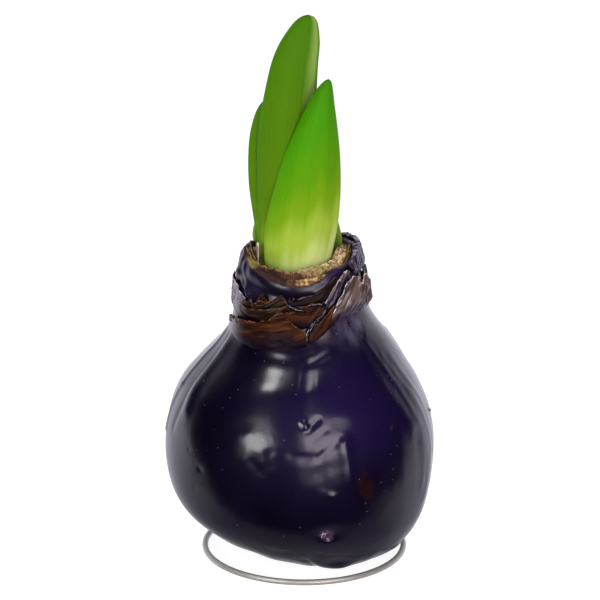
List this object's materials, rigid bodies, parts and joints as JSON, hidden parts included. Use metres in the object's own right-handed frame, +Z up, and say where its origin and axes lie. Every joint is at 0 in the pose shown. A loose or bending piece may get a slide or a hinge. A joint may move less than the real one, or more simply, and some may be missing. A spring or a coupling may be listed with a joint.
{
  "type": "waxed amaryllis bulb",
  "caption": "Waxed amaryllis bulb with young strap leaves and dry neck scales, standing on a wire ring; a self-standing bulb plant for the home.",
  "frame": {"origin": "middle of the bounding box at the table, under the wire ring", "axes": "+Z up along the neck and leaves, -Y to the front where the cut neck is lowest, +X to the right"},
  "size_m": [0.0904, 0.0898, 0.1857],
  "materials": {
    "steel_wire": "bright drawn steel wire",
    "dark_wax": "smooth glossy dark indigo wax",
    "cut_tissue": "dry crumbly tan scale ends",
    "inner_scale": "thin papery cream scale",
    "tunic_brown": "dry translucent orange-brown scale under wax",
    "tunic_dark": "dry dark brown scale under wax",
    "tunic_waxed": "grey-purple waxed pleated scale",
    "leaf_pale": "satin pale green leaf",
    "leaf_green": "satin deep green leaf"
  },
  "bodies": {
    "root": {"wire_stand": "steel_wire", "bulb": "dark_wax", "cut_scales": "cut_tissue", "inner_scale_left": "inner_scale", "tunic_front_upper": "tunic_dark", "tunic_front_lower": "tunic_brown", "tunic_front_middle": "tunic_dark", "tunic_front_right": "tunic_brown", "tunic_right": "tunic_waxed", "tunic_left": "tunic_waxed", "tunic_back_right": "tunic_dark", "tunic_back_left": "tunic_brown", "tunic_back_lower": "tunic_brown", "rim_flap_right": "tunic_waxed", "leaf_front": "leaf_pale", "leaf_tall": "leaf_green", "leaf_left": "leaf_green", "leaf_back": "leaf_green"}
  },
  "joints": []
}
